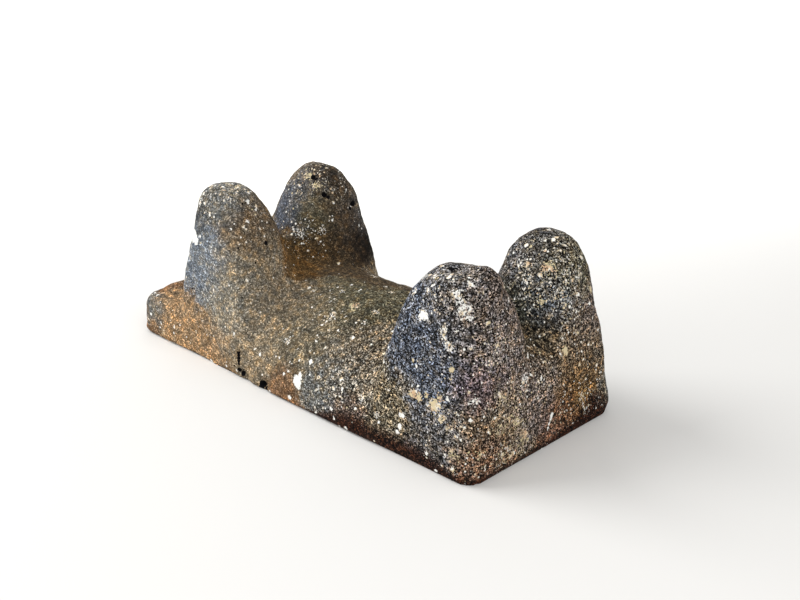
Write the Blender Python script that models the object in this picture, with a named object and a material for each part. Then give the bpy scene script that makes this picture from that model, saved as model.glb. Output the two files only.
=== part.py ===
# A grinding stone carved from one block, lying on its flat working face with its four feet upwards.
# The origin is the middle of the working face, X runs along the stone and +Z is up. Sizes are in metres.
import bmesh
import bpy
import numpy as np

# The slab: its length, and its width at the far end (-X) and at the near end (+X)
LENGTH = 0.3440
FAR_WIDTH = 0.1460
NEAR_WIDTH = 0.1525
# Where the sides start and stop widening, from the middle of the length
WIDEN_START = -0.130
WIDEN_STOP = 0.010

# The walls: the rounds of their edges and upright corners
EDGE_ROUND = 0.0025
RIM_ROUND = 0.0100
NEAR_CORNER_RADIUS = 0.0120
FAR_CORNER_RADIUS = 0.0060
# How much wider the corners' rounds are at the top of the feet, and how far the walls have come in there:
# by leaning, and by bending
CORNER_GROWTH = 0.0210
SIDE_LEAN = 0.0053
NEAR_LEAN = 0.0066
FAR_LEAN = 0.0033
WALL_BEND = 0.0070

# The rounded back between the feet, and the low ledge at the far end
BACK_HEIGHT = 0.0650
SHOULDER_HEIGHT = 0.0245
BACK_POWER = 2.2
LEDGE_HEIGHT = 0.0345
LEDGE_LENGTH = 0.0225
LEDGE_RISE = 0.0700
LEDGE_DROP = 0.0020

# The feet: the tallest, the hollow between two of a pair, and the run from a foot into the back
FOOT_HEIGHT = 0.1320
VALLEY_ROUND = 0.020
BACK_ROUND = 0.018
WEAR_ROUND = 0.005
DEEPEST_FALL = 1.5

# One foot each: the place of its top from the slab's end and from the middle line, how much shorter it is
# than the tallest, how much of its point is worn away, its reach each way at the level of the working face,
# and the powers of its curves
FEET = {
    "near_front": {"end": 1, "side": -1, "from_end": 0.0355, "from_middle": 0.0440, "shorter": 0.0042,
                   "wear": 0.0070, "to_middle": 0.0655, "to_end": 0.0630, "inward": 0.0480,
                   "outward": 0.0600, "power_x": 2.6, "power_y": 2.5},
    "near_back": {"end": 1, "side": 1, "from_end": 0.0390, "from_middle": 0.0430, "shorter": 0.0016,
                  "wear": 0.0016, "to_middle": 0.0590, "to_end": 0.0660, "inward": 0.0600,
                  "outward": 0.0600, "power_x": 2.4, "power_y": 2.05},
    "far_front": {"end": -1, "side": -1, "from_end": 0.0790, "from_middle": 0.0430, "shorter": 0.0000,
                  "wear": 0.0040, "to_middle": 0.0615, "to_end": 0.0400, "inward": 0.0590,
                  "outward": 0.0600, "power_x": 2.6, "power_y": 1.9},
    "far_back": {"end": -1, "side": 1, "from_end": 0.0820, "from_middle": 0.0430, "shorter": 0.0038,
                 "wear": 0.0020, "to_middle": 0.0520, "to_end": 0.0530, "inward": 0.0610,
                 "outward": 0.0600, "power_x": 2.7, "power_y": 1.9},
}

# The slow waves that hand dressing left in the surface: depth, and the three lengths of the waves
DRESSING_DEPTH = 0.0005
DRESSING_WAVES = (0.047, 0.039, 0.053)

# The mesh: faces along the length, the width and the height, and the rounds of evening out
FACES_X = 60
FACES_Y = 26
FACES_Z = 11
DRAW_STEPS = 10
EVEN_ROUNDS = 24
EVEN_SHARE = 0.5
PROBE = 0.0001
LONGEST_STEP = 0.006
LEAST_SLOPE = 0.05

STONE_COLOUR = (0.235, 0.170, 0.118, 1.0)
STONE_ROUGHNESS = 0.88


# The larger of two heights, rounded over where they come closer than reach
def smooth_max(a, b, reach):
    share = np.clip(0.5 + 0.5 * (a - b) / reach, 0.0, 1.0)
    return b + (a - b) * share + reach * share * (1.0 - share)


def smooth_min(a, b, reach):
    return -smooth_max(-a, -b, reach)


# A step from 0 to 1 that starts and stops gently
def ease(value, start, stop):
    share = np.clip((value - start) / (stop - start), 0.0, 1.0)
    return share * share * (3.0 - 2.0 * share)


def half_width(x):
    widening = ease(x, WIDEN_START, WIDEN_STOP)
    return (FAR_WIDTH + (NEAR_WIDTH - FAR_WIDTH) * widening) / 2


# The back is a low vault that sinks to the ledge at the far end
def back_height(x, y):
    rise_start = -LENGTH / 2 + LEDGE_LENGTH
    full = ease(x, rise_start, rise_start + LEDGE_RISE)
    crown = LEDGE_HEIGHT + (BACK_HEIGHT - LEDGE_HEIGHT) * full
    ledge_side = LEDGE_HEIGHT - LEDGE_DROP
    shoulder = ledge_side + (SHOULDER_HEIGHT - ledge_side) * full
    vault = 1.0 - np.abs(y / half_width(x)) ** BACK_POWER
    return shoulder + (crown - shoulder) * vault


# A foot is a rounded hump with its own reach in each direction and a worn top
def foot_height(x, y, foot):
    along = foot["end"] * x - (LENGTH / 2 - foot["from_end"])
    across = foot["side"] * y - foot["from_middle"]
    reach_x = np.where(along > 0.0, foot["to_end"], foot["to_middle"])
    reach_y = np.where(across > 0.0, foot["outward"], foot["inward"])
    fall = np.abs(along / reach_x) ** foot["power_x"] + np.abs(across / reach_y) ** foot["power_y"]
    height = FOOT_HEIGHT - foot["shorter"]
    hump = (height + foot["wear"]) * (1.0 - np.minimum(fall, DEEPEST_FALL))
    return smooth_min(hump, height, WEAR_ROUND)


def pair_height(x, y, front, back):
    return smooth_max(foot_height(x, y, FEET[front]), foot_height(x, y, FEET[back]), VALLEY_ROUND)


def top_height(x, y):
    near_pair = pair_height(x, y, "near_front", "near_back")
    far_pair = pair_height(x, y, "far_front", "far_back")
    feet = smooth_max(near_pair, far_pair, VALLEY_ROUND)
    return smooth_max(back_height(x, y), feet, BACK_ROUND)


# Distance from the walls: a rounded rectangle that gets smaller with the height
def wall_distance(x, y, z):
    above = np.maximum(z, 0.0)
    below_round = 1.0 - np.clip(above / EDGE_ROUND, 0.0, 1.0)
    tuck = EDGE_ROUND * (1.0 - np.sqrt(1.0 - below_round ** 2))
    level = above / FOOT_HEIGHT
    bend = WALL_BEND * level ** 2
    end_lean = np.where(x > 0.0, NEAR_LEAN, FAR_LEAN)
    half_x = LENGTH / 2 - end_lean * level - bend - tuck
    half_y = half_width(x) - SIDE_LEAN * level - bend - tuck
    radius = np.where(x > 0.0, NEAR_CORNER_RADIUS, FAR_CORNER_RADIUS) + CORNER_GROWTH * level
    out_x = np.abs(x) - (half_x - radius)
    out_y = np.abs(y) - (half_y - radius)
    corner = np.hypot(np.maximum(out_x, 0.0), np.maximum(out_y, 0.0))
    return corner + np.minimum(np.maximum(out_x, out_y), 0.0) - radius


def dressing(x, y, z):
    first, second, third = (2.0 * np.pi / length for length in DRESSING_WAVES)
    waves = np.sin(first * (x + 0.6 * y)) * np.sin(second * (y - 0.4 * z))
    waves = waves + np.sin(third * (z + 0.5 * x - 0.3 * y))
    return DRESSING_DEPTH * waves * ease(z, 0.0, RIM_ROUND)


# Signed distance from the stone's surface, below zero inside
def stone_distance(points):
    x, y, z = points[:, 0], points[:, 1], points[:, 2]
    height = top_height(x, y)
    slope_x = (top_height(x + PROBE, y) - top_height(x - PROBE, y)) / (2.0 * PROBE)
    slope_y = (top_height(x, y + PROBE) - top_height(x, y - PROBE)) / (2.0 * PROBE)
    above_top = (z - height) / np.sqrt(1.0 + slope_x ** 2 + slope_y ** 2)
    return smooth_max(above_top, wall_distance(x, y, z), RIM_ROUND) - dressing(x, y, z)


def surface_slope(points):
    slope = np.zeros_like(points)
    for axis in range(3):
        probe = np.zeros(3)
        probe[axis] = PROBE
        slope[:, axis] = (stone_distance(points + probe) - stone_distance(points - probe)) / (2.0 * PROBE)
    return slope


# Moves points along the slope until they lie on the surface; floor points stay at the floor
def draw_to_surface(points, floor, steps):
    for _ in range(steps):
        slope = surface_slope(points)
        slope[floor, 2] = 0.0
        steepness = np.maximum((slope ** 2).sum(axis=1), LEAST_SLOPE)
        move = -(stone_distance(points) / steepness)[:, None] * slope
        length = np.linalg.norm(move, axis=1, keepdims=True)
        points = points + move * np.minimum(1.0, LONGEST_STEP / np.maximum(length, PROBE))
    return points


# Moves each point towards the middle of its neighbours; floor points follow the floor's outline only
def even_out(points, edges, floor):
    on_floor = floor[edges[:, 0]] & floor[edges[:, 1]]
    counted = edges[on_floor | ~(floor[edges[:, 0]] | floor[edges[:, 1]])]
    border = edges[floor[edges[:, 0]] ^ floor[edges[:, 1]]]
    sums = np.zeros_like(points)
    counts = np.zeros(len(points))
    for start, stop in ((0, 1), (1, 0)):
        np.add.at(sums, counted[:, start], points[counted[:, stop]])
        np.add.at(counts, counted[:, start], 1.0)
        upper = border[~floor[border[:, start]]]
        np.add.at(sums, upper[:, start], points[upper[:, stop]])
        np.add.at(counts, upper[:, start], 1.0)
    middle = sums / counts[:, None]
    return points + EVEN_SHARE * (middle - points)


# A unit box cut into a grid, whose bottom is one face
def box_grid():
    grid = bmesh.new()
    bmesh.ops.create_cube(grid, size=2.0)
    for axis, faces in enumerate((FACES_X, FACES_Y, FACES_Z)):
        along = []
        for edge in grid.edges:
            step = edge.verts[0].co - edge.verts[1].co
            if abs(step[axis]) > 1e-6:
                along.append(edge)
        bmesh.ops.subdivide_edges(grid, edges=along, cuts=faces - 1, use_grid_fill=True)
    bottom = [face for face in grid.faces if all(vert.co.z < -0.999 for vert in face.verts)]
    bmesh.ops.dissolve_faces(grid, faces=bottom, use_verts=True)
    return grid


# The box is set to the slab's size, its columns are raised to the top, and it is drawn to the surface
def shape_stone(grid):
    unit = np.array([vert.co[:] for vert in grid.verts])
    edges = np.array([[vert.index for vert in edge.verts] for edge in grid.edges])
    floor = unit[:, 2] < -0.999
    x = unit[:, 0] * LENGTH / 2
    y = unit[:, 1] * FAR_WIDTH / 2
    height = top_height(x, y) * (unit[:, 2] + 1.0) / 2.0
    points = np.stack([x, y, np.where(floor, 0.0, height)], axis=1)
    points = draw_to_surface(points, floor, DRAW_STEPS)
    for _ in range(EVEN_ROUNDS):
        points = draw_to_surface(even_out(points, edges, floor), floor, 2)
    points = draw_to_surface(points, floor, DRAW_STEPS)
    for vert, place in zip(grid.verts, points):
        vert.co = place


# Parts each four-sided face along the diagonal that lies closer to the surface
def part_faces(grid):
    quads = [face for face in grid.faces if len(face.verts) == 4]
    corners = np.array([[vert.co[:] for vert in face.verts] for face in quads])
    first_gap = np.abs(stone_distance((corners[:, 0] + corners[:, 2]) / 2))
    second_gap = np.abs(stone_distance((corners[:, 1] + corners[:, 3]) / 2))
    for face, take_first in zip(quads, first_gap < second_gap):
        verts = list(face.verts)
        start = 0 if take_first else 1
        bmesh.utils.face_split(face, verts[start], verts[start + 2])


def stone_material():
    material = bpy.data.materials.new("dark_stone")
    material.use_nodes = True
    shader = material.node_tree.nodes["Principled BSDF"]
    shader.inputs["Base Color"].default_value = STONE_COLOUR
    shader.inputs["Roughness"].default_value = STONE_ROUGHNESS
    shader.inputs["Metallic"].default_value = 0.0
    return material


def add_stone():
    grid = box_grid()
    grid.verts.index_update()
    shape_stone(grid)
    part_faces(grid)
    bmesh.ops.recalc_face_normals(grid, faces=grid.faces)
    mesh = bpy.data.meshes.new("grinding_stone")
    grid.to_mesh(mesh)
    grid.free()
    mesh.shade_smooth()
    mesh.materials.append(stone_material())
    stone = bpy.data.objects.new("grinding_stone", mesh)
    bpy.context.scene.collection.objects.link(stone)
    return stone


def main():
    for old in list(bpy.data.objects):
        bpy.data.objects.remove(old, do_unlink=True)
    add_stone()


main()
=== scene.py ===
# Dresses the carved grinding stone: fine relief, weathering, lichen, studio
import bpy
import math
import numpy as np
from mathutils import Euler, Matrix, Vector
from mathutils.bvhtree import BVHTree


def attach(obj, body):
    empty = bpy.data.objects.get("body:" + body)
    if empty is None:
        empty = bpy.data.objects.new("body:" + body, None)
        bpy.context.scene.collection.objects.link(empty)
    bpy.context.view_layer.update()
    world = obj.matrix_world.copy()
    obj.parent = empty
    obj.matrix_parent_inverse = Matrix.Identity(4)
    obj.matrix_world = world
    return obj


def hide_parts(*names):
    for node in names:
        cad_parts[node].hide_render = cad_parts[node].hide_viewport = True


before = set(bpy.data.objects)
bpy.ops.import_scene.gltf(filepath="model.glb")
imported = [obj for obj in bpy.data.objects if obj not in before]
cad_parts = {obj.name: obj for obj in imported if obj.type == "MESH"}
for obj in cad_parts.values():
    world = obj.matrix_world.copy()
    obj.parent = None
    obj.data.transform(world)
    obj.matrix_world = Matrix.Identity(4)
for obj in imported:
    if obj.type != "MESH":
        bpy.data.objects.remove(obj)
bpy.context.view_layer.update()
print("stage 1: the packed stone is loaded")


def deselectAll():
    if bpy.context.object and bpy.context.object.mode != "OBJECT":
        bpy.ops.object.mode_set(mode="OBJECT")
    bpy.ops.object.select_all(action="DESELECT")


def selectOnly(item):
    deselectAll()
    item.select_set(True)
    bpy.context.view_layer.objects.active = item


def applyAll(item):
    selectOnly(item)
    for modifier in list(item.modifiers):
        bpy.ops.object.modifier_apply(modifier=modifier.name)


# the camera, for a picture of 800 x 600 pixels
cameraView = {
    "place": (0.6179, -0.5969, 0.4185),
    "down": 23.0,      # degrees below the horizon
    "turn": 44.16,     # degrees round from looking along +Y
    "lens": 58.5,
    "sensor": 36,
    "imageWide": 800,
    "imageHigh": 600,
}


def addCamera():
    turned = (math.radians(90 - cameraView["down"]), 0, math.radians(cameraView["turn"]))
    bpy.ops.object.camera_add(location=cameraView["place"], rotation=turned)
    camera = bpy.context.object
    camera.name = "studioCamera"
    camera.data.lens = cameraView["lens"]
    camera.data.sensor_width = cameraView["sensor"]
    bpy.context.scene.camera = camera


def sightLine(across, down):
    # from the camera through a place in the picture
    reach = cameraView["lens"] / cameraView["sensor"] * cameraView["imageWide"]
    aim = Vector((across - cameraView["imageWide"] / 2, cameraView["imageHigh"] / 2 - down, -reach))
    turned = Euler((math.radians(90 - cameraView["down"]), 0, math.radians(cameraView["turn"])))
    return Vector(cameraView["place"]), (turned.to_matrix() @ aim).normalized()


def surfaceTree(item):
    corners = [v.co.copy() for v in item.data.vertices]
    return BVHTree.FromPolygons(corners, [tuple(f.vertices) for f in item.data.polygons])


def onStone(tree, mark):
    # a mark's place on the stone: "at" is a place in the picture, "spot" a place in metres
    if "spot" in mark:
        return tree.find_nearest(Vector(mark["spot"]))[0]
    start, aim = sightLine(*mark["at"])
    place = tree.ray_cast(start, aim)[0]
    if place is None:
        # just beside the outline: the point of the stone closest to the line of sight
        steps = [tree.find_nearest(start + aim * (0.45 + 0.01 * step)) for step in range(80)]
        place = min(steps, key=lambda found: found[3])[0]
    return place


stoneShape = {
    "voxel": 0.00155,
    "facetRounds": 14,       # smoothing that takes the facets away
    "footStart": 0.0012,     # no relief below this height above the working face,
    "footClear": 0.004,      # and the whole of it this much higher
    "leastPush": 0.00005,    # a pit or swelling ends where it is less deep
    "relief": [              # texture, size of its lumps, depth, share that goes inwards
        ("CLOUDS", 0.030, 0.0022, 0.55),
        ("CLOUDS", 0.011, 0.0014, 0.60),
        ("CLOUDS", 0.0045, 0.0010, 0.60),
    ],
}

# pits and chips, and swellings where the depth is below nothing: place, reach and depth in metres
stonePits = [
    {"at": (448, 270), "wide": 0.0095, "deep": 0.0012},
    {"at": (485, 271), "wide": 0.0080, "deep": -0.0030},
    {"at": (204, 194), "wide": 0.0095, "deep": -0.0030},
    {"at": (197, 215), "wide": 0.0080, "deep": -0.0012},
    {"at": (353, 194), "wide": 0.0090, "deep": -0.0022},
    {"at": (512, 252), "wide": 0.0090, "deep": -0.0022},
    {"at": (476, 268), "wide": 0.0060, "deep": -0.0010},
    {"at": (452, 269), "wide": 0.0030, "deep": 0.0024},
    {"at": (430, 272), "wide": 0.0045, "deep": 0.0020},
    {"at": (463, 268), "wide": 0.0025, "deep": 0.0012},
    {"at": (496, 300), "wide": 0.0060, "deep": -0.0010},
    {"at": (404, 330), "wide": 0.0070, "deep": -0.0010},
    {"at": (245, 182), "wide": 0.0040, "deep": 0.0010},
    {"at": (268, 226), "wide": 0.0050, "deep": -0.0010},
    {"at": (248, 205), "wide": 0.0040, "deep": 0.0012},
    {"at": (338, 186), "wide": 0.0040, "deep": 0.0014},
    {"at": (300, 196), "wide": 0.0035, "deep": 0.0012},
    {"at": (552, 234), "wide": 0.0035, "deep": 0.0014},
    {"at": (574, 244), "wide": 0.0040, "deep": 0.0014},
    {"at": (374, 322), "wide": 0.0050, "deep": 0.0014},
    {"at": (352, 300), "wide": 0.0050, "deep": -0.0010},
    {"at": (246, 377), "wide": 0.0040, "deep": 0.0020},
    {"at": (315, 177), "wide": 0.0030, "deep": 0.0025},
    {"at": (325, 195), "wide": 0.0025, "deep": 0.0025},
    {"at": (352, 204), "wide": 0.0028, "deep": 0.0025},
    {"at": (239, 354), "wide": 0.0018, "deep": 0.0030},
    {"at": (239, 360), "wide": 0.0016, "deep": 0.0030},
    {"at": (241, 372), "wide": 0.0028, "deep": 0.0040},
    {"at": (263, 385), "wide": 0.0034, "deep": 0.0045},
]


def copyStone():
    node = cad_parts["grinding_stone"]
    stone = bpy.data.objects.new("carvedStone", node.data.copy())
    bpy.context.scene.collection.objects.link(stone)
    selectOnly(stone)
    bpy.ops.object.mode_set(mode="EDIT")
    bpy.ops.mesh.select_all(action="SELECT")
    bpy.ops.mesh.remove_doubles(threshold=0.00001)
    bpy.ops.object.mode_set(mode="OBJECT")
    return stone


def remeshStone(stone):
    selectOnly(stone)
    remesh = stone.modifiers.new("fineMesh", "REMESH")
    remesh.mode = "VOXEL"
    remesh.voxel_size = stoneShape["voxel"]
    bpy.ops.object.modifier_apply(modifier="fineMesh")
    above = stone.vertex_groups.new(name="aboveFace")
    for v in stone.data.vertices:
        share = (v.co.z - stoneShape["footStart"]) / stoneShape["footClear"]
        above.add([v.index], min(1.0, max(0.0, share)), "REPLACE")
    smooth = stone.modifiers.new("smoothFacets", "SMOOTH")
    smooth.factor = 0.5
    smooth.iterations = stoneShape["facetRounds"]
    smooth.vertex_group = "aboveFace"
    bpy.ops.object.modifier_apply(modifier="smoothFacets")


def roughenStone(stone):
    for count, (kind, size, deep, inward) in enumerate(stoneShape["relief"]):
        lumps = bpy.data.textures.new("lumps" + str(count), kind)
        lumps.noise_scale = size
        push = stone.modifiers.new("relief" + str(count), "DISPLACE")
        push.texture = lumps
        push.texture_coords = "LOCAL"
        push.strength = deep
        push.mid_level = inward
        push.vertex_group = "aboveFace"
    applyAll(stone)


def sinkPits(stone):
    tree = surfaceTree(stone)
    places = np.zeros(len(stone.data.vertices) * 3)
    stone.data.vertices.foreach_get("co", places)
    places = places.reshape(-1, 3)
    depth = np.zeros(len(places))
    for pit in stonePits:
        away = np.linalg.norm(places - np.array(onStone(tree, pit)), axis=1) / pit["wide"]
        depth += pit["deep"] * np.exp(-away ** 2)
    for name, deep in (("pits", depth), ("swellings", -depth)):
        group = stone.vertex_groups.new(name=name)
        deepest = deep.max()
        for index in np.nonzero(deep > stoneShape["leastPush"])[0]:
            group.add([int(index)], float(deep[index] / deepest), "REPLACE")
        push = stone.modifiers.new(name, "DISPLACE")
        push.strength = -deepest if name == "pits" else deepest
        push.mid_level = 0
        push.vertex_group = name
    applyAll(stone)


# screen colours, 0 to 255
tones = {
    "paleBlue": (126, 130, 133),
    "paleDust": (143, 134, 117),
    "sand": (144, 127, 102),
    "ochre": (158, 128, 94),
    "copper": (132, 99, 70),
    "dune": (129, 115, 94),
    "stoneGrey": (111, 109, 102),
    "earth": (115, 104, 84),
    "driedMud": (106, 90, 71),
    "moss": (96, 89, 69),
    "ash": (93, 89, 85),
    "slate": (88, 91, 97),
    "taupe": (105, 93, 84),
    "plum": (92, 76, 81),
    "rust": (104, 76, 40),
    "liver": (104, 74, 56),
    "umber": (80, 65, 46),
    "bark": (62, 46, 27),
    # the next two are dark moss and dark brown with painted shadow in them
    "mossWithPaintedShade": (46, 46, 37),
    "brownWithPaintedShadow": (46, 30, 13),
    "redBlack": (44, 22, 12),
    # black for the inside of pits and holes: painted shade
    "pit": (5, 4, 7),
    "cream": (226, 206, 172),
    "butter": (214, 200, 158),
    "flesh": (216, 182, 146),
    "white": (248, 246, 240),
}


def paint(name, share=1.0):
    # a tone's screen colour as the light values that a shader takes
    light = []
    for part in tones[name]:
        level = part / 255
        light.append(share * (level / 12.92 if level <= 0.04045 else ((level + 0.055) / 1.055) ** 2.4))
    return (*light, 1.0)


# broad areas of ground: place in the picture, reach in millimetres
stains = [
    # the long wall, grey at its far corner
    {"tone": "stoneGrey", "at": (152, 308), "reach": 9},
    {"tone": "ochre", "at": (178, 318), "reach": 18},
    {"tone": "ochre", "at": (210, 348), "reach": 18},
    {"tone": "paleDust", "at": (226, 312), "reach": 20},
    {"tone": "sand", "at": (252, 338), "reach": 22},
    {"tone": "earth", "at": (302, 338), "reach": 24},
    {"tone": "copper", "at": (283, 391), "reach": 12},
    {"tone": "stoneGrey", "at": (334, 388), "reach": 20},
    {"tone": "dune", "at": (366, 364), "reach": 22},
    {"tone": "earth", "at": (392, 400), "reach": 16},
    {"tone": "liver", "at": (346, 421), "reach": 12},
    # the left foot of the far pair
    {"tone": "paleBlue", "at": (203, 262), "reach": 20},
    {"tone": "paleDust", "at": (229, 286), "reach": 18},
    {"tone": "stoneGrey", "at": (226, 194), "reach": 16},
    {"tone": "driedMud", "at": (251, 222), "reach": 16},
    {"tone": "dune", "at": (253, 266), "reach": 18},
    # the right foot of the far pair
    {"tone": "slate", "at": (288, 208), "reach": 12},
    {"tone": "ash", "at": (307, 187), "reach": 12},
    {"tone": "moss", "at": (317, 212), "reach": 14},
    {"tone": "umber", "at": (342, 198), "reach": 18},
    {"tone": "bark", "at": (347, 231), "reach": 16},
    # painted shadow on this foot's flanks, over dark brown and moss
    {"tone": "brownWithPaintedShadow", "at": (367, 247), "reach": 13},
    {"tone": "mossWithPaintedShade", "at": (304, 237), "reach": 12},
    {"tone": "rust", "at": (298, 259), "reach": 18},
    {"tone": "umber", "at": (338, 264), "reach": 18},
    # the vault
    {"tone": "dune", "at": (312, 303), "reach": 16},
    {"tone": "moss", "at": (346, 299), "reach": 22},
    {"tone": "moss", "at": (387, 303), "reach": 16},
    # the left foot of the near pair
    {"tone": "slate", "at": (412, 318), "reach": 20},
    {"tone": "slate", "at": (424, 352), "reach": 20},
    {"tone": "slate", "at": (433, 388), "reach": 18},
    {"tone": "ash", "at": (448, 284), "reach": 18},
    {"tone": "ash", "at": (459, 338), "reach": 18},
    {"tone": "plum", "at": (482, 385), "reach": 13},
    {"tone": "taupe", "at": (490, 312), "reach": 18},
    {"tone": "taupe", "at": (499, 362), "reach": 20},
    {"tone": "ash", "at": (433, 436), "reach": 16},
    {"tone": "driedMud", "at": (492, 427), "reach": 20},
    {"tone": "liver", "at": (488, 464), "reach": 14},
    # the right foot of the near pair
    {"tone": "ash", "at": (537, 252), "reach": 18},
    {"tone": "moss", "at": (564, 272), "reach": 18},
    {"tone": "slate", "at": (553, 297), "reach": 14},
    # dark moss with painted shade in the valley between the near feet
    {"tone": "mossWithPaintedShade", "at": (517, 307), "reach": 14},
    {"tone": "mossWithPaintedShade", "at": (538, 327), "reach": 15},
    {"tone": "taupe", "at": (591, 309), "reach": 15},
    {"tone": "umber", "at": (533, 352), "reach": 15},
    {"tone": "driedMud", "at": (573, 348), "reach": 20},
    {"tone": "rust", "at": (574, 388), "reach": 15},
    {"tone": "taupe", "at": (536, 398), "reach": 18},
    {"tone": "liver", "at": (556, 421), "reach": 15},
    {"tone": "redBlack", "at": (594, 412), "reach": 10},
    # hidden sides, plainer
    {"tone": "stoneGrey", "spot": (0.12, 0.072, 0.03), "reach": 30},
    {"tone": "taupe", "spot": (0.06, 0.075, 0.02), "reach": 26},
    {"tone": "earth", "spot": (0.0, 0.075, 0.03), "reach": 30},
    {"tone": "sand", "spot": (-0.05, 0.073, 0.02), "reach": 24},
    {"tone": "dune", "spot": (-0.11, 0.071, 0.03), "reach": 30},
    {"tone": "ochre", "spot": (-0.165, 0.05, 0.02), "reach": 22},
    {"tone": "dune", "spot": (-0.172, 0.0, 0.025), "reach": 24},
    {"tone": "copper", "spot": (-0.172, -0.045, 0.015), "reach": 18},
    {"tone": "slate", "spot": (0.12, 0.066, 0.09), "reach": 26},
    {"tone": "ash", "spot": (-0.07, 0.066, 0.09), "reach": 26},
    {"tone": "umber", "spot": (-0.115, 0.05, 0.09), "reach": 20},
    {"tone": "stoneGrey", "spot": (-0.118, -0.035, 0.09), "reach": 20},
    {"tone": "umber", "spot": (0.0, 0.03, 0.065), "reach": 20},
]

# broad light and dark on the ground: place, reach in metres, gain
# painted light and shade: gains that lighten or darken the ground's colour around each place
paintedLightAndShade = [
    {"at": (366, 246), "reach": 0.017, "gain": -0.75},    # painted shadow on the flank of the foot furthest away, cast by the other far foot
    {"at": (328, 176), "reach": 0.015, "gain": -0.50},    # painted shade on its crown
    {"at": (198, 222), "reach": 0.014, "gain": -0.45},    # dark left edge of the left foot
    {"at": (543, 238), "reach": 0.018, "gain": -0.50},    # dark crown of the near right foot
    {"at": (364, 326), "reach": 0.024, "gain": -0.35},    # painted shade in the hollow before the near feet
    {"at": (348, 418), "reach": 0.012, "gain": -0.30},
    {"at": (286, 268), "reach": 0.016, "gain": 0.35},     # painted light on the rust between the far feet
    {"at": (462, 366), "reach": 0.022, "gain": 0.30},     # painted light on the middle of the near left foot
    {"at": (550, 370), "reach": 0.035, "gain": 0.30},     # painted light on the near end
    {"at": (512, 436), "reach": 0.026, "gain": 0.25},
]

# where the lichen is dense: place, reach in metres, share of cover, warm where it is tan
lichenAreas = [
    {"at": (430, 282), "reach": 0.020, "cover": 0.61, "warm": 0.2},
    {"at": (458, 276), "reach": 0.022, "cover": 0.60, "warm": 0.4},
    {"at": (470, 308), "reach": 0.020, "cover": 0.61, "warm": 0.3},
    {"at": (494, 345), "reach": 0.030, "cover": 0.57, "warm": 0.7},
    {"at": (440, 350), "reach": 0.022, "cover": 0.33, "warm": 0.3},
    {"at": (545, 248), "reach": 0.030, "cover": 0.62, "warm": 0.7},
    {"at": (560, 282), "reach": 0.030, "cover": 0.78, "warm": 0.6},
    {"at": (524, 285), "reach": 0.026, "cover": 0.74, "warm": 0.6},
    {"at": (570, 325), "reach": 0.030, "cover": 0.53, "warm": 0.6},
    {"at": (545, 375), "reach": 0.030, "cover": 0.45, "warm": 0.9},
    {"at": (585, 370), "reach": 0.026, "cover": 0.41, "warm": 0.9},
    {"at": (450, 425), "reach": 0.034, "cover": 0.53, "warm": 0.2},
    {"at": (510, 405), "reach": 0.030, "cover": 0.61, "warm": 0.9},
    {"at": (510, 440), "reach": 0.026, "cover": 0.70, "warm": 0.9},
    {"at": (470, 465), "reach": 0.022, "cover": 0.57, "warm": 0.7},
    {"at": (555, 425), "reach": 0.022, "cover": 0.53, "warm": 0.8},
    {"at": (592, 400), "reach": 0.016, "cover": 0.62, "warm": 0.4},
    {"at": (205, 195), "reach": 0.018, "cover": 0.61, "warm": 0.3},
    {"at": (236, 188), "reach": 0.020, "cover": 0.66, "warm": 0.7},
    {"at": (255, 210), "reach": 0.014, "cover": 0.57, "warm": 0.9},
    {"at": (252, 232), "reach": 0.012, "cover": 0.49, "warm": 1.0},
    {"at": (308, 180), "reach": 0.024, "cover": 0.62, "warm": 0.9},
    {"at": (335, 186), "reach": 0.016, "cover": 0.49, "warm": 0.6},
    {"at": (302, 230), "reach": 0.024, "cover": 0.57, "warm": 0.2},
    {"at": (338, 310), "reach": 0.034, "cover": 0.37, "warm": 0.2},
    {"at": (376, 275), "reach": 0.014, "cover": 0.41, "warm": 0.5},
    {"at": (335, 395), "reach": 0.026, "cover": 0.33, "warm": 0.1},
    {"at": (160, 315), "reach": 0.018, "cover": 0.33, "warm": 0.1},
    {"spot": (0.12, 0.066, 0.10), "reach": 0.030, "cover": 0.49, "warm": 0.4},
    {"spot": (-0.07, 0.066, 0.10), "reach": 0.030, "cover": 0.45, "warm": 0.4},
    {"spot": (-0.12, -0.03, 0.11), "reach": 0.024, "cover": 0.41, "warm": 0.4},
]

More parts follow.
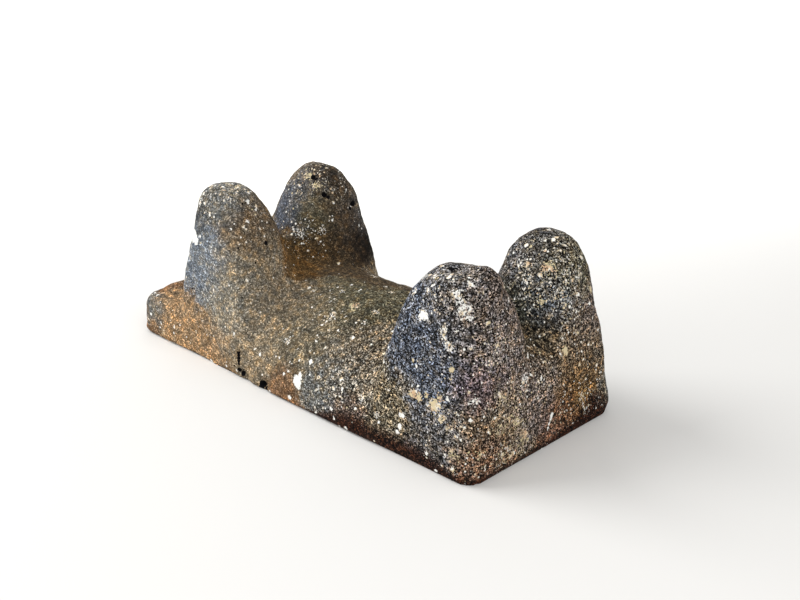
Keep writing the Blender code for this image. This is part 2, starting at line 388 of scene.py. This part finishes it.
# broken clusters of lichen: place, reach in metres, share of cover, warm where it is tan
lichenClusters = [
    {"at": (438, 277), "reach": 0.0055, "cover": 0.85, "warm": 0.5},
    {"at": (425, 277), "reach": 0.0040, "cover": 0.95, "warm": 0.0},
    {"at": (414, 292), "reach": 0.0035, "cover": 1.0, "warm": 0.0},
    {"at": (456, 294), "reach": 0.0045, "cover": 1.15, "warm": 0.0},
    {"at": (461, 301), "reach": 0.0040, "cover": 1.0, "warm": 0.0},
    {"at": (464, 311), "reach": 0.0055, "cover": 1.2, "warm": 0.0},
    {"at": (470, 318), "reach": 0.0030, "cover": 1.0, "warm": 0.0},
    {"at": (443, 330), "reach": 0.0045, "cover": 1.05, "warm": 0.2},
    {"at": (445, 338), "reach": 0.0030, "cover": 0.95, "warm": 0.2},
    {"at": (449, 347), "reach": 0.0045, "cover": 1.0, "warm": 0.2},
    {"at": (423, 315), "reach": 0.0042, "cover": 1.5, "warm": 0.0},
    {"at": (412, 394), "reach": 0.0040, "cover": 1.25, "warm": 1.0},
    {"at": (419, 397), "reach": 0.0038, "cover": 1.2, "warm": 1.0},
    {"at": (426, 395), "reach": 0.0030, "cover": 1.1, "warm": 1.0},
    {"at": (434, 405), "reach": 0.0055, "cover": 1.35, "warm": 0.9},
    {"at": (440, 398), "reach": 0.0035, "cover": 1.1, "warm": 1.0},
    {"at": (442, 419), "reach": 0.0050, "cover": 1.05, "warm": 0.6},
    {"at": (437, 411), "reach": 0.0085, "cover": 0.82, "warm": 0.7},
    {"at": (500, 430), "reach": 0.0080, "cover": 0.80, "warm": 0.9},
    {"at": (582, 398), "reach": 0.0080, "cover": 0.72, "warm": 0.3},
    {"at": (566, 350), "reach": 0.0045, "cover": 1.0, "warm": 1.0},
    {"at": (541, 301), "reach": 0.0035, "cover": 1.0, "warm": 0.9},
    {"at": (591, 290), "reach": 0.0035, "cover": 1.0, "warm": 0.9},
    {"at": (450, 428), "reach": 0.0040, "cover": 0.95, "warm": 0.6},
    {"at": (475, 402), "reach": 0.0040, "cover": 1.05, "warm": 0.0},
    {"at": (503, 398), "reach": 0.0060, "cover": 0.9, "warm": 0.7},
    {"at": (516, 422), "reach": 0.0060, "cover": 1.0, "warm": 1.0},
    {"at": (524, 437), "reach": 0.0055, "cover": 1.0, "warm": 1.0},
    {"at": (453, 455), "reach": 0.0050, "cover": 0.95, "warm": 0.9},
    {"at": (482, 454), "reach": 0.0040, "cover": 0.95, "warm": 1.0},
    {"at": (547, 268), "reach": 0.0060, "cover": 1.0, "warm": 0.9},
    {"at": (586, 408), "reach": 0.0050, "cover": 0.8, "warm": 0.2},
    {"at": (525, 378), "reach": 0.0050, "cover": 0.9, "warm": 0.0},
    {"at": (542, 380), "reach": 0.0040, "cover": 0.9, "warm": 0.2},
    {"at": (331, 318), "reach": 0.0060, "cover": 0.9, "warm": 0.2},
    {"at": (287, 341), "reach": 0.0035, "cover": 1.0, "warm": 0.0},
    {"at": (354, 306), "reach": 0.0050, "cover": 1.05, "warm": 0.9},
    {"at": (375, 312), "reach": 0.0035, "cover": 1.0, "warm": 0.5},
    {"at": (342, 291), "reach": 0.0030, "cover": 1.0, "warm": 0.2},
    {"at": (313, 291), "reach": 0.0030, "cover": 1.0, "warm": 0.3},
    {"at": (392, 292), "reach": 0.0030, "cover": 1.0, "warm": 0.2},
    {"at": (374, 276), "reach": 0.0050, "cover": 0.95, "warm": 0.3},
    {"at": (361, 398), "reach": 0.0030, "cover": 1.05, "warm": 0.0},
    {"at": (376, 415), "reach": 0.0035, "cover": 1.0, "warm": 0.0},
    {"at": (237, 187), "reach": 0.0050, "cover": 1.05, "warm": 0.8},
    {"at": (200, 200), "reach": 0.0050, "cover": 1.0, "warm": 0.0},
    {"at": (212, 186), "reach": 0.0050, "cover": 0.95, "warm": 0.3},
    {"at": (308, 176), "reach": 0.0060, "cover": 1.0, "warm": 0.9},
    {"at": (316, 186), "reach": 0.0050, "cover": 0.95, "warm": 0.9},
    {"at": (300, 232), "reach": 0.0060, "cover": 0.9, "warm": 0.1},
    {"at": (322, 230), "reach": 0.0050, "cover": 0.9, "warm": 0.1},
]

# single lichen patches: place and reach in metres
whiteSpots = [
    {"at": (158.0, 295.0), "reach": 0.0011},
    {"at": (151.0, 314.0), "reach": 0.0011},
    {"at": (161.0, 323.0), "reach": 0.0010},
    {"at": (174.0, 327.0), "reach": 0.0011},
    {"at": (174.0, 333.0), "reach": 0.0009},
    {"at": (236.7, 370.3), "reach": 0.0009},
    {"at": (226.6, 366.2), "reach": 0.0009},
    {"at": (267.7, 391.4), "reach": 0.0010},
    {"at": (279.3, 357.6), "reach": 0.0009},
    {"at": (316.6, 341.3), "reach": 0.0010},
    {"at": (322.4, 324.7), "reach": 0.0010},
    {"at": (338.0, 287.4), "reach": 0.0010},
    {"at": (342.3, 389.4), "reach": 0.0010},
    {"at": (315.8, 412.6), "reach": 0.0010},
    {"at": (388.3, 348.0), "reach": 0.0011},
    {"at": (393.0, 331.0), "reach": 0.0012},
    {"at": (448.0, 400.0), "reach": 0.0011},
    {"at": (417.8, 386.4), "reach": 0.0010},
    {"at": (416.3, 366.5), "reach": 0.0011},
    {"at": (589.3, 303.5), "reach": 0.0012},
    {"at": (598.0, 330.0), "reach": 0.0009},
    {"at": (230.9, 228.4), "reach": 0.0010},
    {"at": (256.0, 209.8), "reach": 0.0011},
    {"at": (297.0, 381.0), "reach": 0.0040},
    {"at": (300.0, 376.0), "reach": 0.0022},
    {"at": (298.0, 386.0), "reach": 0.0026},
    {"at": (194.0, 236.0), "reach": 0.0050},
    {"at": (196.0, 241.0), "reach": 0.0030},
    {"at": (310.8, 361.7), "reach": 0.0018},
    {"at": (260.2, 354.6), "reach": 0.0012},
    {"at": (284.0, 374.8), "reach": 0.0012},
    {"at": (421.5, 314.0), "reach": 0.0022},
    {"at": (426.0, 317.5), "reach": 0.0020},
    {"at": (401.9, 415.0), "reach": 0.0022},
    {"at": (399.5, 426.3), "reach": 0.0020},
    {"at": (397.4, 431.8), "reach": 0.0016},
    {"at": (470.5, 421.0), "reach": 0.0014},
    {"at": (426.6, 453.4), "reach": 0.0014},
    {"at": (551.5, 415.0), "reach": 0.0019},
    {"at": (550.6, 419.5), "reach": 0.0016},
    {"at": (549.2, 424.0), "reach": 0.0013},
    {"at": (548.0, 428.0), "reach": 0.0012},
    {"at": (247.8, 201.5), "reach": 0.0016},
    {"at": (330.7, 408.5), "reach": 0.0013},
    {"at": (378.8, 421.7), "reach": 0.0012},
    {"at": (384.0, 361.7), "reach": 0.0013},
]
creamSpots = [
    {"at": (433.0, 404.0), "reach": 0.0019},
    {"at": (434.5, 408.5), "reach": 0.0014},
    {"at": (430.5, 402.0), "reach": 0.0013},
    {"at": (410.8, 394.5), "reach": 0.0014},
    {"at": (418.5, 397.0), "reach": 0.0013},
    {"at": (439.5, 420.0), "reach": 0.0012},
    {"at": (438.6, 397.5), "reach": 0.0011},
    {"at": (413.0, 360.0), "reach": 0.0012},
    {"at": (451.3, 369.7), "reach": 0.0016},
    {"at": (565.4, 350.0), "reach": 0.0022},
    {"at": (567.0, 353.5), "reach": 0.0014},
    {"at": (590.9, 289.0), "reach": 0.0018},
]
# black in the pits and the slot: painted shade
blackSpots = [
    {"at": (238.7, 352.5), "reach": 0.0014},
    {"at": (238.7, 355.3), "reach": 0.0012},
    {"at": (238.8, 358.0), "reach": 0.0012},
    {"at": (238.9, 361.0), "reach": 0.0012},
    {"at": (239.0, 364.0), "reach": 0.0012},
    {"at": (234.5, 365.5), "reach": 0.0009},
    {"at": (239.5, 369.5), "reach": 0.0018},
    {"at": (243.5, 373.5), "reach": 0.0020},
    {"at": (263.5, 383.5), "reach": 0.0030},
    {"at": (262.0, 387.5), "reach": 0.0026},
    {"at": (267.0, 388.0), "reach": 0.0018},
    {"at": (452.0, 269.0), "reach": 0.0016},
    {"at": (449.0, 268.0), "reach": 0.0012},
    {"at": (456.0, 268.5), "reach": 0.0011},
    {"at": (313.0, 177.5), "reach": 0.0020},
    {"at": (316.5, 179.5), "reach": 0.0016},
    {"at": (324.0, 194.9), "reach": 0.0022},
    {"at": (328.0, 197.0), "reach": 0.0014},
    {"at": (352.3, 203.2), "reach": 0.0024},
    {"at": (350.0, 208.0), "reach": 0.0016},
    {"at": (266.0, 243.0), "reach": 0.0016},
]


def addNode(tree, kind, **settings):
    node = tree.nodes.new("ShaderNode" + kind)
    for name, value in settings.items():
        setattr(node, name, value)
    return node


def feed(tree, source, socket):
    # joins a socket, or sets a plain value
    if isinstance(source, bpy.types.NodeSocket):
        tree.links.new(source, socket)
    else:
        socket.default_value = source


def maths(tree, kind, first, second=0.0, third=0.0):
    node = addNode(tree, "Math", operation=kind)
    for socket, source in zip(node.inputs, (first, second, third)):
        feed(tree, source, socket)
    return node.outputs[0]


def vectorMaths(tree, kind, first, second):
    node = addNode(tree, "VectorMath", operation=kind)
    feed(tree, first, node.inputs[0])
    feed(tree, second, node.inputs["Scale"] if kind == "SCALE" else node.inputs[1])
    return node.outputs["Value"] if kind in ("DISTANCE", "DOT_PRODUCT") else node.outputs["Vector"]


def noise(tree, place, size, detail=3.0, rough=0.55):
    # size in millimetres
    node = addNode(tree, "TexNoise")
    feed(tree, place, node.inputs["Vector"])
    node.inputs["Scale"].default_value = 1 / size
    node.inputs["Detail"].default_value = detail
    node.inputs["Roughness"].default_value = rough
    return node.outputs


def cells(tree, place, size):
    # the cells' outputs, and three random shares for each cell
    node = addNode(tree, "TexVoronoi")
    feed(tree, place, node.inputs["Vector"])
    node.inputs["Scale"].default_value = 1 / size
    split = addNode(tree, "SeparateColor")
    feed(tree, node.outputs["Color"], split.inputs["Color"])
    return node.outputs, split.outputs


def fade(tree, value, start, stop, low=0.0, high=1.0):
    node = addNode(tree, "MapRange", interpolation_type="SMOOTHSTEP", clamp=False)
    names = ("Value", "From Min", "From Max", "To Min", "To Max")
    for name, source in zip(names, (value, start, stop, low, high)):
        feed(tree, source, node.inputs[name])
    return node.outputs["Result"]


def mix(tree, share, first, second, kind="MIX"):
    node = addNode(tree, "Mix", data_type="RGBA", blend_type=kind)
    feed(tree, share, node.inputs[0])
    feed(tree, first, node.inputs[6])
    feed(tree, second, node.inputs[7])
    return node.outputs[2]


def ramp(tree, value, stops):
    node = addNode(tree, "ValToRGB")
    elements = node.color_ramp.elements
    while len(elements) < len(stops):
        elements.new(0.5)
    for element, (place, colour) in zip(elements, stops):
        element.position = place
        element.color = colour
    feed(tree, value, node.inputs["Fac"])
    return node.outputs["Color"]


def wander(tree, place, size, push):
    # the place pushed about by noise, so that borders on it run unevenly
    shift = vectorMaths(tree, "SUBTRACT", noise(tree, place, size, 3.0, 0.6)["Color"], (0.5, 0.5, 0.5))
    return vectorMaths(tree, "ADD", place, vectorMaths(tree, "SCALE", shift, push))


def specks(tree, place, cover, size, reach, offset):
    # round spots, one to a cell at most; size and reach in millimetres
    spots, shares = cells(tree, vectorMaths(tree, "ADD", place, (offset, offset, offset)), size)
    edge = maths(tree, "MULTIPLY_ADD", shares[1], reach / size, 0.45 * reach / size)
    inward = maths(tree, "SUBTRACT", spots["Distance"], edge)
    spot = fade(tree, inward, 0.12 * reach / size, -0.18 * reach / size)
    return maths(tree, "MULTIPLY", spot, maths(tree, "LESS_THAN", shares[0], cover))


def distanceTo(tree, surface, place, mark):
    # in millimetres, from a place to a mark on the stone
    return vectorMaths(tree, "DISTANCE", place, tuple(1000 * onStone(surface, mark)))


def spotCover(tree, surface, place, spots, soft):
    # one cover for a list of spots; soft is the width of its border in millimetres
    nearest = None
    for spot in spots:
        away = maths(tree, "SUBTRACT", distanceTo(tree, surface, place, spot), 1000 * spot["reach"])
        nearest = away if nearest is None else maths(tree, "MINIMUM", nearest, away)
    return fade(tree, nearest, soft, -soft)


def grey(level):
    return (level, level, level, 1.0)


def tintBy(tree, colour, factor):
    return mix(tree, 1.0, colour, factor, "MULTIPLY")


# lengths in millimetres; a noise is size, detail and roughness, a wander size and push,
# specks are cell size, reach and offset
stoneFinish = {
    "groundLevel": 0.95,      # how light the ground is under the studio's light
    "plainShare": 0.03,       # the plain ground's share beside the stains
    "plainNoise": (24.0, 4.0, 0.6),
    "broadWander": (13.0, 34.0),
    "raggedWander": (2.4, 4.6),
    "crumbledWander": (1.1, 1.5),
    "grainSize": 0.8,
    "grainShift": 5.5,        # how far off a grain takes its stain from
    "grainTones": [
        (0.0, (0.008, 0.006, 0.005, 1)), (0.24, (0.035, 0.03, 0.024, 1)), (0.4, (0.42, 0.40, 0.37, 1)),
        (0.6, (0.98, 0.97, 0.96, 1)), (0.78, (2.0, 2.05, 2.12, 1)), (0.91, (3.8, 3.9, 4.2, 1)),
        (1.0, (6.2, 6.5, 7.0, 1)),
    ],
    "grainStrength": (0.44, 1.0),      # at the far end and at the near end
    "wallFoot": (1.2, 18.0),           # height of the dark foot along the wall, far and near
    "wallFootEnd": 0.35,               # its share at the near corner
    "endFoot": (2.0, 12.0),            # its height across the near end
    "footShare": 0.96,
    "mottleNoise": (5.0, 4.0, 0.65),
    "mottleTones": [(0.3, grey(0.6)), (0.5, grey(0.95)), (0.7, grey(1.45))],
    "hueNoise": (5.0, 3.0, 0.6),
    "hues": [(0.32, (0.87, 0.98, 1.16, 1)), (0.5, (0.97, 1.0, 1.045, 1)), (0.68, (1.15, 1.0, 0.8, 1))],
    "lumpSize": 2.1,
    "lumpTones": [(0.0, grey(0.7)), (0.5, grey(0.97)), (1.0, grey(1.35))],
    "shadeNoise": (2.0, 2.0, 0.7),
    "shadeShare": 0.9,
    "shadeLevel": 0.1,
    "leastCover": 0.08,       # lichen outside its areas
    "leastWarm": 0.2,
    "clumpNoise": (7.0, 3.0, 0.6),
    "clumpShares": (0.6, 1.2),
    "crustNoise": (1.25, 2.0, 0.75),
    "crustNeeds": (-0.28, 0.78),       # how much noise makes crust: less with cover, and without any
    "warmNeeds": (0.3, -0.13),
    "smallSpecks": (2.2, 0.6, 31.0),
    "smallShare": 0.5,
    "mediumSpecks": (3.8, 1.15, 7.0),
    "mediumShare": 0.4,
    "darkSpecks": (4.5, 0.65, 3.0),
    "darkShare": 0.14,
    "creamBorder": 0.25,
    "whiteBorder": 0.2,
    "blackBorder": 0.15,
    "roughness": 0.88,
    "gloss": 0.1,
    "bumpNoise": (1.3, 3.0, 0.65),
    "bumpGrains": 0.5,
    "bumpStrength": 0.7,
    "bumpHeight": 0.0006,     # metres
}


def stainGroundAndPaintLight(tree, surface, place, broad):
    # every tone has a share that falls off around its places
    cloud = noise(tree, place, *stoneFinish["plainNoise"])["Fac"]
    plain = mix(tree, fade(tree, cloud, 0.40, 0.62), paint("driedMud"), paint("dune"))
    colour = vectorMaths(tree, "SCALE", plain, stoneFinish["plainShare"])
    total = stoneFinish["plainShare"]
    for tone in tones:
        share = None
        for stain in stains:
            if stain["tone"] == tone:
                here = fade(tree, distanceTo(tree, surface, broad, stain), 2.0 * stain["reach"], 0.0)
                share = here if share is None else maths(tree, "ADD", share, here)
        if share is not None:
            toned = vectorMaths(tree, "SCALE", paint(tone)[:3], share)
            colour = vectorMaths(tree, "ADD", colour, toned)
            total = maths(tree, "ADD", share, total)
    level = maths(tree, "DIVIDE", stoneFinish["groundLevel"], total)
    colour = vectorMaths(tree, "SCALE", colour, level)

    # painted light and shade from the patches above, as gains on the colour
    gain = 1.0
    for patch in paintedLightAndShade:
        gap = distanceTo(tree, surface, broad, patch)
        here = fade(tree, gap, 1500 * patch["reach"], 0.0, 1.0, 1 + patch["gain"])
        gain = maths(tree, "MULTIPLY", gain, here)
    return vectorMaths(tree, "SCALE", colour, gain)


def darkenFootWithStainAndShade(tree, axes, shift, colour):
    # a dark red-brown band along the lower edges, partly stain and partly painted shade where the edge
    # turns under
    # highest along the middle of the near half, and at the back of the near end
    nearHalf = fade(tree, axes["X"], 8.0, 72.0, *stoneFinish["wallFoot"])
    nearCorner = fade(tree, axes["X"], 125.0, 170.0, 1.0, stoneFinish["wallFootEnd"])
    along = maths(tree, "MULTIPLY", nearHalf, nearCorner)
    endFoot = fade(tree, axes["Y"], -45.0, 50.0, *stoneFinish["endFoot"])
    endFoot = maths(tree, "MULTIPLY", endFoot, fade(tree, axes["X"], 155.0, 168.0))
    along = maths(tree, "MAXIMUM", along, endFoot)
    uneven = vectorMaths(tree, "DOT_PRODUCT", shift, (0.3, 0.3, 0.3))
    rise = maths(tree, "DIVIDE", maths(tree, "ADD", axes["Z"], uneven), along)
    share = fade(tree, rise, 1.2, 0.45, 0.0, stoneFinish["footShare"])
    return mix(tree, share, colour, paint("redBlack"))


def lichenShare(tree, surface, place, broad, ragged):
    # how much lichen there is, and how much of it is tan
    cover = stoneFinish["leastCover"]
    warm = stoneFinish["leastWarm"]
    for area in lichenAreas:
        reach = 1000 * area["reach"]
        gap = distanceTo(tree, surface, broad, area)
        here = fade(tree, gap, 1.5 * reach, 0.2 * reach, 0.0, area["cover"])
        cover = maths(tree, "MAXIMUM", cover, here)
        warm = maths(tree, "MAXIMUM", warm, maths(tree, "MULTIPLY", here, area["warm"]))
    clumpNoise = noise(tree, place, *stoneFinish["clumpNoise"])["Fac"]
    clump = fade(tree, clumpNoise, 0.35, 0.65, *stoneFinish["clumpShares"])
    cover = maths(tree, "MULTIPLY", cover, clump)
    for cluster in lichenClusters:
        reach = 1000 * cluster["reach"]
        gap = distanceTo(tree, surface, ragged, cluster)
        here = fade(tree, gap, 1.5 * reach, 0.3 * reach, 0.0, cluster["cover"])
        cover = maths(tree, "MAXIMUM", cover, here)
        inside = fade(tree, gap, 1.3 * reach, 0.9 * reach)
        around = maths(tree, "MULTIPLY", warm, maths(tree, "SUBTRACT", 1.0, inside))
        warm = maths(tree, "ADD", around, maths(tree, "MULTIPLY", inside, cluster["warm"]))
    return cover, warm


def finishStone(stone):
    material = bpy.data.materials.new("weatheredStone")
    material.use_nodes = True
    tree = material.node_tree
    shader = tree.nodes["Principled BSDF"]
    surface = surfaceTree(stone)
    scale = addNode(tree, "Mapping")
    scale.inputs["Scale"].default_value = (1000, 1000, 1000)
    feed(tree, addNode(tree, "TexCoord").outputs["Object"], scale.inputs["Vector"])
    place = scale.outputs["Vector"]      # in millimetres
    ragged = wander(tree, place, *stoneFinish["raggedWander"])
    crumbled = wander(tree, place, *stoneFinish["crumbledWander"])

    # the grains of the rock; each takes its stain from a place a little way off, so that stains mingle
    grains, grainShares = cells(tree, place, stoneFinish["grainSize"])
    chance = grainShares[0]
    shift = vectorMaths(tree, "SUBTRACT", grains["Color"], (0.5, 0.5, 0.5))
    shift = vectorMaths(tree, "SCALE", shift, stoneFinish["grainShift"])
    broad = vectorMaths(tree, "ADD", wander(tree, place, *stoneFinish["broadWander"]), shift)
    colour = stainGroundAndPaintLight(tree, surface, place, broad)
    split = addNode(tree, "SeparateXYZ")
    feed(tree, place, split.inputs[0])
    colour = darkenFootWithStainAndShade(tree, split.outputs, shift, colour)

    # lighter and darker, warmer and cooler by the millimetre
    mottle = noise(tree, place, *stoneFinish["mottleNoise"])["Fac"]
    colour = tintBy(tree, colour, ramp(tree, mottle, stoneFinish["mottleTones"]))
    hue = noise(tree, ragged, *stoneFinish["hueNoise"])["Fac"]
    colour = tintBy(tree, colour, ramp(tree, hue, stoneFinish["hues"]))
    strength = fade(tree, split.outputs["X"], -15.0, 90.0, *stoneFinish["grainStrength"])
    grained = tintBy(tree, colour, ramp(tree, chance, stoneFinish["grainTones"]))
    colour = mix(tree, strength, colour, grained)
    lumps = cells(tree, ragged, stoneFinish["lumpSize"])[1][0]
    colour = tintBy(tree, colour, ramp(tree, lumps, stoneFinish["lumpTones"]))
    shadeNoise = noise(tree, place, *stoneFinish["shadeNoise"])["Fac"]
    shade = fade(tree, shadeNoise, 0.45, 0.37, 0.0, stoneFinish["shadeShare"])
    shade = maths(tree, "MULTIPLY", shade, strength)
    colour = mix(tree, shade, colour, tintBy(tree, colour, grey(stoneFinish["shadeLevel"])))

    # lichen: a fine crust where it is dense, and loose specks in two sizes
    cover, warm = lichenShare(tree, surface, place, broad, ragged)
    crustNoise = noise(tree, place, *stoneFinish["crustNoise"])["Fac"]
    needed = maths(tree, "MULTIPLY_ADD", cover, *stoneFinish["crustNeeds"])
    crust = fade(tree, maths(tree, "SUBTRACT", crustNoise, needed), -0.01, 0.03)
    smallCover = maths(tree, "MULTIPLY", cover, stoneFinish["smallShare"])
    small = specks(tree, place, smallCover, *stoneFinish["smallSpecks"])
    mediumCover = maths(tree, "MULTIPLY", cover, stoneFinish["mediumShare"])
    medium = specks(tree, ragged, mediumCover, *stoneFinish["mediumSpecks"])
    lichen = maths(tree, "MAXIMUM", maths(tree, "MAXIMUM", crust, small), medium)
    tint = noise(tree, place, 3.0, 1.0)["Fac"]
    tint = maths(tree, "SUBTRACT", tint, maths(tree, "MULTIPLY_ADD", warm, *stoneFinish["warmNeeds"]))
    lichenColour = mix(tree, fade(tree, tint, 0.42, 0.64), paint("cream"), paint("white"))
    tan = fade(tree, noise(tree, place, 6.0, 1.0)["Fac"], 0.45, 0.55)
    tan = mix(tree, tan, paint("butter"), paint("flesh"))
    lichenColour = mix(tree, fade(tree, tint, 0.48, 0.30), lichenColour, tan)
    colour = mix(tree, lichen, colour, lichenColour)

    # single patches and pits
    cream = spotCover(tree, surface, ragged, creamSpots, stoneFinish["creamBorder"])
    colour = mix(tree, cream, colour, mix(tree, mottle, paint("butter"), paint("cream")))
    white = spotCover(tree, surface, ragged, whiteSpots, stoneFinish["whiteBorder"])
    colour = mix(tree, white, colour, paint("white"))
    # black in the pits and small holes is painted shade
    dark = specks(tree, crumbled, stoneFinish["darkShare"], *stoneFinish["darkSpecks"])
    black = spotCover(tree, surface, crumbled, blackSpots, stoneFinish["blackBorder"])
    colour = mix(tree, maths(tree, "MAXIMUM", dark, black), colour, paint("pit"))

    feed(tree, colour, shader.inputs["Base Color"])
    shader.inputs["Roughness"].default_value = stoneFinish["roughness"]
    shader.inputs["Specular IOR Level"].default_value = stoneFinish["gloss"]

    # fine relief of the grain
    bumpNoise = noise(tree, place, *stoneFinish["bumpNoise"])["Fac"]
    grainRelief = maths(tree, "MULTIPLY", chance, stoneFinish["bumpGrains"])
    bump = addNode(tree, "Bump")
    bump.inputs["Strength"].default_value = stoneFinish["bumpStrength"]
    bump.inputs["Distance"].default_value = stoneFinish["bumpHeight"]
    feed(tree, maths(tree, "ADD", bumpNoise, grainRelief), bump.inputs["Height"])
    feed(tree, bump.outputs["Normal"], shader.inputs["Normal"])
    stone.data.materials.clear()
    stone.data.materials.append(material)


studio = {
    "floorTone": (0.80, 0.79, 0.767, 1.0),
    "skyLight": 0.56,
    "lights": [        # name, place, aim, width, power, spread in degrees
        ("keyLight", (-1.25, -0.75, 1.15), (0.0, 0.0, 0.05), 1.5, 30.0, 180),
        ("farLight", (-0.95, 1.05, 1.1), (-0.95, 1.05, 0.0), 1.3, 26.0, 80),
        ("fillLight", (1.3, -0.4, 1.3), (0.15, 0.0, 0.05), 1.6, 12.0, 180),
    ],
}


def addStudio():
    deselectAll()
    bpy.ops.mesh.primitive_plane_add(size=8, location=(0, 0, 0))
    floor = bpy.context.object
    floor.name = "paleFloor"
    paper = bpy.data.materials.new("palePaper")
    paper.use_nodes = True
    paper.node_tree.nodes["Principled BSDF"].inputs["Base Color"].default_value = studio["floorTone"]
    paper.node_tree.nodes["Principled BSDF"].inputs["Roughness"].default_value = 0.8
    floor.data.materials.append(paper)
    for name, place, aim, width, power, spread in studio["lights"]:
        bpy.ops.object.light_add(type="AREA", location=place)
        light = bpy.context.object
        light.name = name
        light.data.shape = "DISK"
        light.data.size = width
        light.data.energy = power
        light.data.spread = math.radians(spread)
        light.rotation_euler = (Vector(aim) - Vector(place)).to_track_quat("-Z", "Y").to_euler()
    world = bpy.data.worlds.new("studioRoom")
    bpy.context.scene.world = world
    world.use_nodes = True
    world.node_tree.nodes["Background"].inputs["Color"].default_value = (1, 1, 1, 1)
    world.node_tree.nodes["Background"].inputs["Strength"].default_value = studio["skyLight"]
    bpy.context.scene.view_settings.view_transform = "Standard"


addCamera()
addStudio()
print("stage 2: camera, floor and lights")
stone = copyStone()
remeshStone(stone)
roughenStone(stone)
sinkPits(stone)
selectOnly(stone)
bpy.ops.object.shade_smooth()
print("stage 3: the stone has", len(stone.data.polygons), "faces")
finishStone(stone)
print("stage 4: the stone is coloured")
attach(stone, "root")
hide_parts("grinding_stone")
deselectAll()
